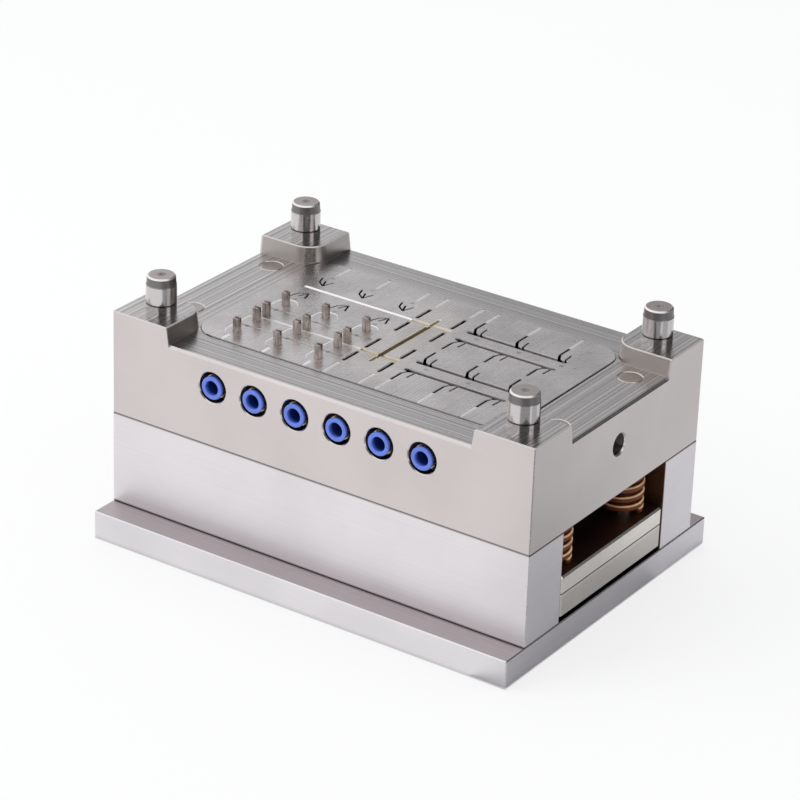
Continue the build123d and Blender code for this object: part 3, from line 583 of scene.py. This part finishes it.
class MOULD_OT_dress_spacers(bpy.types.Operator):
    """Give the spacer blocks their ground finish"""
    bl_idname = "mould.dress_spacers"
    bl_label = "Dress spacer blocks"

    def execute(self, context):
        look = context.scene.mould_plates
        steel = ground_steel("spacer_steel", look.spacer_steel, look.plate_roughness)
        steel.seam(Z_CLAMP, look.grime_and_shade, 0.0022)
        steel.seam(CORE_LOW.z, look.dust, 0.0018)
        # Brown oily film and painted shade on the inner sides of the ejector box
        steel.tint("Inner oil", steel.within("Inner side", "Y", Y_BOX + 0.0002, Y_BOX + 0.0012), look.box_shade_and_oil)
        steel.dress("spacer_block_front", "spacer_block_rear")
        return {"FINISHED"}


class MOULD_OT_dress_core_plate(bpy.types.Operator):
    """Give the core plate ground sides and a milled parting face"""
    bl_idname = "mould.dress_core_plate"
    bl_label = "Dress core plate"

    def execute(self, context):
        look = context.scene.mould_plates
        steel = ground_steel("core_plate_steel", look.core_steel, look.plate_roughness, across=1100.0)
        polish = look.floor_roughness - look.plate_roughness
        flat = steel.use("level")["Facing up"]
        steel.tint("Parting face", flat, look.floor_steel, matt=polish - 0.05)
        self.mill_strips(steel, flat)

        raised = steel.use("level", level=Z_FLOOR, depth=-0.0003)["Below"]
        inward = steel.field("Inner sides", CORE_HIGH, -0.002, -0.001)
        sides = steel.both(steel.less(raised, flat), inward)
        # Painted shade on the lock walls, with a change of gloss
        steel.tint("Lock sides", sides, look.lock_side_shade, matt=polish + 0.04)
        upper = steel.use("level", level=Z_FLOOR + 0.012, depth=-0.001)["Below"]
        rims = steel.both(upper, steel.slanted("Lock rims", *EDGE_SLOPES))
        steel.tint("Lock rims", rims, look.rim_steel, dull=0.7)

        pocket = steel.less(steel.field("Pocket", INSERT_HIGH, 0.0015, 0.0025), raised)
        steel.tint("Pocket gap", steel.both(pocket, steel.use("edge")["Mask"]), look.grime_and_shade)
        steel.seam(CORE_LOW.z, look.dust, 0.0012)
        steel.dress("core_plate")
        return {"FINISHED"}

    @staticmethod
    def mill_strips(steel, flat):
        """Cutter lines across the strips past the insert's ends, and along the strips beside it, which also
        get painted shade.
        """
        ends = steel.within("End strips", "X", INSERT_HIGH.x + 0.002, INSERT_HIGH.x - 0.003)
        sides = steel.less(1.0, ends)
        for label, strip, pitch, turn in (("End", ends, 0.0026, 0.0), ("Side", sides, 0.0021, pi / 2)):
            lines = steel.use("milling", pitch=pitch, turn=turn)
            where = steel.both(flat, strip)
            passes = steel.both(where, steel.fade(f"{label} streaks", lines["Tone"], 0.2, 0.8))
            steel.shade(f"{label} pass tone", passes, 1.0, 0.5)
            steel.relief(f"{label} relief", steel.both(where, lines["Height"]), 0.00004)
        # Painted shade on the strips beside the insert
        steel.shade("Side strip tone", steel.both(flat, sides), 1.0, 0.93)


class MOULD_OT_dress_insert(bpy.types.Operator):
    """Give the core insert cutter lines, tan runners, and painted shade and highlights on its cuts"""
    bl_idname = "mould.dress_insert"
    bl_label = "Dress core insert"

    def execute(self, context):
        look = context.scene.mould_plates
        steel = Finish("insert_steel", look.insert_steel, look.floor_roughness)
        level = steel.use("level", level=INSERT_HIGH.z, depth=CUT_DEPTH)
        below, flat = level["Below"], level["Facing up"]
        # The stepped prints lie at the front left: this mask is none on them and full elsewhere
        clear = steel.either(
            steel.fade("Right of the steps", steel.place("X"), -0.030, -0.026),
            steel.fade("Behind the steps", steel.place("Y"), 0.0, 0.004),
        )
        middle = steel.field("Within the rim", INSERT_HIGH, -0.0018, -0.0008)
        self.mill_face(steel, flat)
        steel.smudge(0.035, (0.90, 1.08), gloss=0.12)
        self.heat_runner(steel, look, below)
        # Painted shade on the insert's outer rim
        rim = steel.less(steel.slanted("Rim", *EDGE_SLOPES), middle)
        steel.tint("Rim grime", steel.both(rim, 0.55), look.grime_and_shade)

        # Painted highlights on the walls of shallow cuts and on the vents' floors
        lit = steel.both(self.shallow_walls(steel, look, below, flat), middle)
        steel.tint("Scratched cuts", lit, look.cut_wall_highlight, matt=0.25, dull=0.7)
        # Painted highlight on the walls of the shallow prints
        prints = steel.both(steel.less(lit, clear), steel.fade("Over the steps", below, 0.125, 0.11))
        steel.tint("Print walls", prints, look.print_wall_highlight, dull=0.3)
        # Painted shade in the slits and deep cuts
        steel.tint("Slit dark", self.slits(steel, look, below, clear), look.slit_shade)
        steel.dress("core_insert")
        return {"FINISHED"}

    @staticmethod
    def mill_face(steel, flat):
        """Two sets of cutter lines that cross on the face."""
        for label, pitch, turn, wander, tones, height in (
            ("Line", 0.0017, pi / 4, 0.002, (0.90, 1.22), 0.00004),
            ("Cross", 0.0031, 0.0, 0.0016, (1.03, 0.85), 0.00003),
        ):
            lines = steel.both(flat, steel.use("milling", pitch=pitch, turn=turn, wander=wander)["Height"])
            steel.shade(f"{label} tone", lines, *tones)
            steel.relief(f"{label} relief", lines, height)

    @staticmethod
    def heat_runner(steel, look, below):
        """Golden tint in and round the runner, with painted shade on the walls that face the end."""
        hot = steel.both(
            steel.within("Along the runner", "X", 0.018, 0.030),
            steel.within("Across the runner", "Y", 0.060, 0.075),
        )
        cut = steel.fade("Cut faces", below, 0.03, 0.16)
        hot_cut = steel.both(hot, cut)
        # Painted shade on the runner walls that face the end
        runner_wall_shade = steel.both(hot_cut, steel.fade("Facing the end", steel.facing("X"), 0.4, 0.8))
        steel.tint("Heat tint", hot_cut, look.gold)
        steel.tint("Burnt walls", runner_wall_shade, look.runner_wall_shade)
        steel.tint("Warm face", steel.both(hot, 0.10), look.gold)
        steel.matt("Matt walls", cut, 0.25)

    @staticmethod
    def shallow_walls(steel, look, below, flat):
        """Mask of the painted highlights on the walls of shallow cuts and on the vents' floors, faint at
        the front gate.
        """
        shallow = steel.both(
            steel.fade("Under the face", below, 0.004, 0.012),
            steel.fade("Shallow cuts", below, 0.30, 0.18),
        )
        vents = steel.both(
            steel.fade("Under a vent's rim", below, 0.030, 0.042),
            steel.fade("Over a print's floor", below, 0.070, 0.058, 0.0, 0.35),
        )
        gate = steel.off(steel.place("Y"), -look.gate_aside)
        faint = steel.fade("Front gate", gate, 0.0017, 0.0024, 0.2, 1.0)
        return steel.both(steel.either(steel.less(shallow, flat), vents), faint)

    @staticmethod
    def slits(steel, look, below, clear):
        """Mask of the painted shade in deep cuts and narrow slits, without the wide channels and faint on
        the steps.
        """
        settings = {"samples": 8, "only_local": True}
        # Ambient occlusion gives painted shade in narrow nooks
        nook = make_node(steel.tree, "AmbientOcclusion", "Nooks", settings, {"Distance": 0.005})
        narrow = steel.both(
            steel.fade("Deep cuts", below, 0.05, 0.12),
            steel.fade("Nooks", nook.outputs["AO"], 0.72, 0.52),
        )
        narrow = steel.both(narrow, steel.fade("Bold slits", clear, 0.0, 1.0, 0.35, 1.0))
        from_runner = steel.off(steel.place("X"), -look.runner_aside)
        from_cross = steel.off(steel.off(steel.place("Y")), look.gate_aside)
        wide = steel.either(
            steel.fade("In the runner", from_runner, 0.0042, 0.0035),
            steel.fade("In the cross", from_cross, 0.0032, 0.0025),
        )
        return steel.either(steel.fade("Slit depth", below, 0.66, 0.74), steel.less(narrow, wide))


class MOULD_OT_dress_core_pins(bpy.types.Operator):
    """Give the standing core pins their eroded finish"""
    bl_idname = "mould.dress_core_pins"
    bl_label = "Dress core pins"

    def execute(self, context):
        steel = Finish("core_pin_steel", context.scene.mould_pins.core_steel, 0.42)
        steel.streak(700.0, 60.0, (0.4, 1.5), 0.0001)
        steel.smudge(0.006, (0.8, 1.15))
        steel.dress("core_pins")
        return {"FINISHED"}


class MOULD_OT_dress_guide_pins(bpy.types.Operator):
    """Give the guide pins polished bodies and matt lead-ins"""
    bl_idname = "mould.dress_guide_pins"
    bl_label = "Dress guide pins"

    def execute(self, context):
        look = context.scene.mould_pins
        steel = Finish("guide_pin_steel", look.guide_steel, 0.13)
        lead = steel.use("level", level=GUIDE_HIGH.z, depth=look.lead_band)
        below, end = lead["Below"], lead["Facing up"]
        band = steel.fade("Lead-in band", below, 0.999, 0.93)
        groove = steel.use("level", level=CORE_HIGH.z + look.groove_up, band=look.groove_band)["Near"]
        dimple = steel.fade("Dimple", self.from_end(steel.tree, look), 0.004, 0.0032)
        steel.tint("Lead-in", band, look.lead_steel, matt=0.20)
        # Painted highlight on the nose chamfer
        steel.tint("Nose", steel.less(steel.fade("Nose", below, 0.17, 0.14), end), look.nose_highlight)
        # Dark band round each pin at the groove's height
        steel.tint("Groove oil", groove, look.groove_dark)
        steel.tint("Pin end", end, look.end_steel, matt=0.10)
        steel.tint("Dimple", dimple, look.dimple_steel, matt=0.5, dull=0.8)
        steel.streak(40.0, 2600.0, (0.94, 1.05), 0.00001, gloss=0.06)
        steel.matt("Spot gloss", steel.use("smudge", size=0.02)["Spots"], 0.10)
        steel.dress("guide_pins")
        return {"FINISHED"}

    @staticmethod
    def from_end(tree, look):
        """Distance from the middle of a pin's end; the four pins stand alike about the middle."""
        inset = look.guide_head / 2
        middle = (GUIDE_HIGH.x - inset, GUIDE_HIGH.y - inset, GUIDE_HIGH.z)
        size = vector_maths(tree, "Size", "ABSOLUTE", object_place(tree))[0]
        return vector_maths(tree, "From the end's middle", "DISTANCE", size, middle)["Value"]


class MOULD_OT_dress_ejector_plates(bpy.types.Operator):
    """Give the ejector plates their ground finish"""
    bl_idname = "mould.dress_ejector_plates"
    bl_label = "Dress ejector plates"

    def execute(self, context):
        look = context.scene.mould_plates
        steel = ground_steel("ejector_plate_steel", look.ejector_steel, look.plate_roughness, across=800.0)
        split = steel.use("level", level=Z_EJECTOR)
        steel.tint("Seam grime", split["Near"], look.grime_and_shade)
        # Brown oily film and painted shade on the plates' upper faces inside the box
        steel.tint("Oil film", split["Facing up"], look.box_shade_and_oil)
        # Painted shade on the lower ejector plate
        steel.shade("Lower plate", split["Below"], 1.0, 0.76)
        steel.dress("ejector_plate", "ejector_retainer_plate")
        return {"FINISHED"}


class MOULD_OT_dress_ejector_pins(bpy.types.Operator):
    """Give the return, ejector and puller pins their ground finish"""
    bl_idname = "mould.dress_ejector_pins"
    bl_label = "Dress ejector pins"

    def execute(self, context):
        look = context.scene.mould_pins
        for base, *nodes in (
            (look.return_steel, "return_pins"),
            (look.ejector_steel, "ejector_pins", "runner_puller_pins"),
        ):
            steel = Finish(f"{nodes[0]}_steel", base, 0.22)
            steel.streak(60.0, 1800.0, (0.92, 1.06), 0.00001)
            steel.smudge(0.012, (0.9, 1.08), gloss=0.12)
            steel.shade("Edge tone", steel.use("edge", square=0.9, broken=0.75)["Mask"], 1.0, 1.3)
            steel.dress(*nodes)
        return {"FINISHED"}


class MOULD_OT_wind_springs(bpy.types.Operator):
    """Wind the four return springs from flat wire, with closed and ground ends"""
    bl_idname = "mould.wind_springs"
    bl_label = "Wind return springs"

    def execute(self, context):
        look = context.scene.mould_springs
        coat = Finish("brown_spring_coat", look.coat, 0.45, metallic=0.0, specular=0.3)
        # Painted light on the wire's upper faces
        coat.tint("Worn", coat.slanted("Worn", *WIRE_LIGHT_SLOPES), look.wire_top_light)
        coat.smudge(0.01, (0.85, 1.1), gloss=0.2)
        coat.streak(300.0, 500.0, (0.8, 1.15), 0.00004)
        material = coat.close()
        low, high = SPRING_LOW, SPRING_HIGH
        outer = look.coil_wide / 2
        centres = [(x, y) for x in (low.x + outer, high.x - outer) for y in (low.y + outer, high.y - outer)]
        for number, (x, y) in enumerate(centres, 1):
            piece = skin_rings(f"return_spring_{number}", self.coil(look, x, y), material, closed=False)
            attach(piece, "moving_half")
            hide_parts("return_springs")
            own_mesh(piece)
        return {"FINISHED"}

    def coil(self, look, x, y):
        """Rings of corners along the wire of a spring that stands at x and y."""
        low, high = SPRING_LOW.z, SPRING_HIGH.z
        mean = (look.coil_wide - look.wire_wide) / 2
        section = self.wire_section(look)
        rings = []
        for step in range((look.open_turns + 2) * look.steps + 1):
            turn = step / look.steps
            bend = turn * 2 * pi
            z = low + look.wire_high / 2 + self.climb(look, turn)
            rings.append([
                (
                    x + (mean + across) * cos(bend),
                    y + (mean + across) * sin(bend),
                    min(max(z + up, low), high),
                )
                for across, up in section
            ])
        return rings

    @staticmethod
    def wire_section(look):
        """Rounded outline of the wire, across and along the coil."""
        corners = []
        wide = look.wire_wide / 2 - look.wire_round
        high = look.wire_high / 2 - look.wire_round
        for quarter, (side, top) in enumerate(((1, 1), (-1, 1), (-1, -1), (1, -1))):
            for part in range(WIRE_CORNER_STEPS + 1):
                bend = (quarter + part / WIRE_CORNER_STEPS) * pi / 2
                corners.append(
                    (side * wide + look.wire_round * cos(bend), top * high + look.wire_round * sin(bend))
                )
        return corners

    @staticmethod
    def climb(look, turn):
        """Height of the wire's middle over its start: closed turn, open turns, closed turn."""
        rise = SPRING_HIGH.z - SPRING_LOW.z - look.wire_high - 2 * look.closed_pitch
        if turn <= 1:
            return turn * look.closed_pitch
        if turn <= look.open_turns + 1:
            return look.closed_pitch + rise * (turn - 1) / look.open_turns
        return rise + look.closed_pitch * (turn - look.open_turns)


class MOULD_OT_dress_fittings(bpy.types.Operator):
    """Give the fittings plated bodies, brass plugs and black seals"""
    bl_idname = "mould.dress_fittings"
    bl_label = "Dress water fittings"

    def execute(self, context):
        look = context.scene.mould_fittings
        brass = Finish("plated_brass", look.brass, 0.22)
        brass.streak(900.0, 900.0, (0.85, 1.1), 0.00002, gloss=0.1)
        brass.dress("fitting_bodies")
        plug = Finish("plug_brass", look.plug_brass, 0.3)
        plug.smudge(0.006, (0.8, 1.1), gloss=0.2)
        plug.dress("water_plugs")
        rubber = Finish("seal_rubber", look.rubber, 0.55, metallic=0.0)
        rubber.smudge(0.003, (0.7, 1.5), height=0.00005)
        rubber.dress("fitting_seals")
        return {"FINISHED"}


class MOULD_OT_turn_collars(bpy.types.Operator):
    """Turn the six blue release collars with rounded lips"""
    bl_idname = "mould.turn_collars"
    bl_label = "Turn release collars"

    def execute(self, context):
        look = context.scene.mould_fittings
        nodes = [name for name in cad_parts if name.startswith("release_collar_")]
        material = self.plastic(look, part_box(nodes[0])[0].y)
        turns = [2 * pi * n / look.collar_steps for n in range(look.collar_steps)]
        for node in nodes:
            low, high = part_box(node)
            centre = (low + high) / 2
            profile = self.profile(look, high.y - low.y)
            rings = [
                [
                    (centre.x + radius * cos(turn), low.y + depth, centre.z + radius * sin(turn))
                    for radius, depth in profile
                ]
                for turn in turns
            ]
            piece = skin_rings(f"{node}_turned", rings, material, closed=True)
            piece.data.set_sharp_from_angle(angle=COLLAR_SHARP)
            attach(piece, node)
            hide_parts(node)
        return {"FINISHED"}

    @staticmethod
    def profile(look, long):
        """Half section of a collar as radius and depth from its face, going round."""
        outer, bore, stem = look.collar_wide / 2, look.collar_bore / 2, look.collar_stem / 2
        edge = look.collar_round
        bends = [part / COLLAR_CORNER_STEPS * pi / 2 for part in range(COLLAR_CORNER_STEPS + 1)]
        points = [(stem, long), (stem, look.collar_lip), (outer, look.collar_lip)]
        points += [(outer - edge + edge * cos(bend), edge - edge * sin(bend)) for bend in bends]
        points += [(bore + edge - edge * sin(bend), edge - edge * cos(bend)) for bend in bends]
        points.append((bore, long))
        return points

    @staticmethod
    def plastic(look, face):
        """Blue moulded plastic with painted shade down the bore; face is where the collars start."""
        blue = Finish("collar_plastic", look.collar_blue, 0.34, metallic=0.0)
        blue.shader.inputs["Coat Weight"].default_value = 0.25
        blue.smudge(0.004, (0.92, 1.08), gloss=0.12, height=0.00003)
        throat = blue.fade("Throat", blue.place("Y"), face + look.throat_start, face + look.throat_end)
        # Painted shade down the collar's bore
        blue.tint("Throat", throat, look.throat_shade)
        return blue.close()


class MOULD_OT_dress_fasteners(bpy.types.Operator):
    """Give the screws, buttons and stops their finish"""
    bl_idname = "mould.dress_fasteners"
    bl_label = "Dress fasteners"

    def execute(self, context):
        look = context.scene.mould_fittings
        black = Finish("black_oxide", look.screw_black, 0.45, metallic=0.8)
        black.smudge(0.01, (0.7, 1.4), gloss=0.2)
        black.shade("Edge tone", black.use("edge")["Mask"], 1.0, 1.5)
        black.dress(
            "clamp_screws", "spacer_screws", "insert_screws", "ejector_plate_screws", "stroke_stop_screws"
        )
        steel = Finish("button_steel", look.button_steel, 0.3)
        steel.streak(50.0, 1500.0, (0.85, 1.1), 0.00002)
        steel.smudge(0.012, (0.9, 1.1))
        steel.dress("rest_buttons", "stroke_stops")
        return {"FINISHED"}


class MOULD_OT_set_stage(bpy.types.Operator):
    """Set the pale floor, the soft light and the camera"""
    bl_idname = "mould.set_stage"
    bl_label = "Set stage"

    def execute(self, context):
        look = context.scene.mould_stage
        self.lay_floor(look)
        self.light(context.scene, look)
        self.stand_cards(look)
        self.place_camera(context.scene, look)
        context.scene.view_settings.view_transform = "Standard"
        return {"FINISHED"}

    @staticmethod
    def show_white(tree, first, white, most, output):
        """Mix in a white shader where rays come straight, mirrored or through glass from the camera."""
        path = make_node(tree, "LightPath", "Rays").outputs
        seen = maths(tree, "Seen", "ADD", path["Is Camera Ray"], path["Is Glossy Ray"], clamp=True)
        seen = maths(tree, "All seen", "ADD", seen, path["Is Transmission Ray"], clamp=True)
        part = maths(tree, "White part", "MULTIPLY", seen, most)
        inputs = {0: part, 1: first.outputs[0], 2: white.outputs[0]}
        mix = make_node(tree, "MixShader", "With white", None, inputs)
        tree.links.new(mix.outputs[0], tree.nodes[output].inputs["Surface"])

    @staticmethod
    def stage_piece(name, corners, faces, material):
        """Plain piece of the stage."""
        mesh = bpy.data.meshes.new(name)
        mesh.from_pydata(corners, [], faces)
        mesh.materials.append(material)
        piece = add_object(name, mesh)
        return piece

    def lay_floor(self, look):
        """Pale floor that keeps a soft shadow."""
        paper = Finish("pale_floor", look.floor_white, 0.9, metallic=0.0, specular=0.1)
        glow = make_node(paper.tree, "Emission", "Paper white", None, {"Color": WHITE, "Strength": 1.0})
        self.show_white(paper.tree, paper.shader, glow, 1.0 - look.floor_shadow, "Material Output")
        half = look.floor_size / 2
        corners = [(-half, -half, 0), (half, -half, 0), (half, half, 0), (-half, half, 0)]
        self.stage_piece("floor", corners, [(0, 1, 2, 3)], paper.close())

    def light(self, scene, look):
        """White backdrop, soft light all round and two large lamps."""
        scene.world = bpy.data.worlds.new("studio")
        scene.world.use_nodes = True
        tree = scene.world.node_tree
        soft = tree.nodes["Background"]
        soft.inputs["Color"].default_value = (*look.sky, 1)
        soft.inputs["Strength"].default_value = look.sky_strength
        white = make_node(tree, "Background", "White", None, {"Color": WHITE, "Strength": 1.0})
        self.show_white(tree, soft, white, 1.0, "World Output")
        for name, power_look, place, size in LAMPS:
            lamp = bpy.data.lights.new(name, "AREA")
            lamp.energy = getattr(look, power_look)
            lamp.size = size
            item = add_object(name, lamp)
            item.location = place
            item.rotation_euler = (LAMP_AIM - Vector(place)).to_track_quat("-Z", "Y").to_euler()
            item.visible_glossy = False

    def stand_cards(self, look):
        """Grey cards that only reflections see, so that polished steel shows dark and light bands."""
        faces = [(2 * n, 2 * n + 1, 2 * n + 3, 2 * n + 2) for n in range(CARD_STEPS)]
        for name, start, end, profile, grey in GREY_CARDS:
            turns = [radians(start + (end - start) * n / CARD_STEPS) for n in range(CARD_STEPS + 1)]
            corners = [
                look.card_reach * Vector((out * sin(turn), -out * cos(turn), up))
                for turn in turns
                for out, up in profile
            ]
            paint = Finish(name, (grey, grey, grey), 1.0, metallic=0.0, specular=0.0)
            card = self.stage_piece(name, corners, faces, paint.close())
            card.visible_camera = False
            card.visible_diffuse = False
            card.visible_shadow = False

    @staticmethod
    def place_camera(scene, look):
        """Camera at the photograph's viewing angle."""
        turn, rise, roll = look.azimuth, look.elevation, look.roll
        back = Vector((sin(turn) * cos(rise), -cos(turn) * cos(rise), sin(rise)))
        level = Vector((cos(turn), sin(turn), 0))
        upright = back.cross(level)
        right = level * cos(roll) + upright * sin(roll)
        up = upright * cos(roll) - level * sin(roll)
        camera = bpy.data.cameras.new("camera")
        camera.lens = look.lens
        camera.sensor_width = SENSOR_WIDTH
        camera.clip_end = CAMERA_REACH
        place = back * look.distance - right * look.aside + up * look.lift
        axes = Matrix((right, up, back)).transposed().to_4x4()
        scene.camera = add_object("camera", camera)
        scene.camera.matrix_world = Matrix.Translation(place) @ axes


class MOULD_PT_looks(bpy.types.Panel):
    """Lists the looks of the mould base"""
    bl_label = "Mould base looks"
    bl_idname = "MOULD_PT_looks"
    bl_space_type = "VIEW_3D"
    bl_region_type = "UI"
    bl_category = "Mould"

    def draw(self, context):
        for holder in PROPERTY_HOLDERS:
            box = self.layout.box()
            settings = getattr(context.scene, holder)
            box.label(text=type(settings).__doc__)
            for name in type(settings).__annotations__:
                box.prop(settings, name)
        for operator in OPERATORS:
            self.layout.operator(operator.bl_idname)


PROPERTY_HOLDERS = {
    "mould_plates": MouldPlateLook,
    "mould_pins": MouldPinLook,
    "mould_springs": MouldSpringLook,
    "mould_fittings": MouldFittingLook,
    "mould_stage": MouldStageLook,
}
OPERATORS = (
    MOULD_OT_dress_clamp_plate,
    MOULD_OT_dress_spacers,
    MOULD_OT_dress_core_plate,
    MOULD_OT_dress_insert,
    MOULD_OT_dress_core_pins,
    MOULD_OT_dress_guide_pins,
    MOULD_OT_dress_ejector_plates,
    MOULD_OT_dress_ejector_pins,
    MOULD_OT_wind_springs,
    MOULD_OT_dress_fittings,
    MOULD_OT_turn_collars,
    MOULD_OT_dress_fasteners,
    MOULD_OT_set_stage,
)
CLASSES = (*PROPERTY_HOLDERS.values(), *OPERATORS, MOULD_PT_looks)


def register():
    for item in CLASSES:
        bpy.utils.register_class(item)
    for holder, group in PROPERTY_HOLDERS.items():
        setattr(bpy.types.Scene, holder, PointerProperty(type=group))


def unregister():
    for holder in PROPERTY_HOLDERS:
        delattr(bpy.types.Scene, holder)
    for item in reversed(CLASSES):
        bpy.utils.unregister_class(item)


def main():
    register()
    Finish.groups = {
        "grain": build_grain_group(),
        "milling": build_milling_group(),
        "smudge": build_smudge_group(),
        "edge": build_edge_group(),
        "level": build_level_group(),
    }
    for operator in OPERATORS:
        space, name = operator.bl_idname.split(".")
        getattr(getattr(bpy.ops, space), name)()


if __name__ == "__main__":
    main()
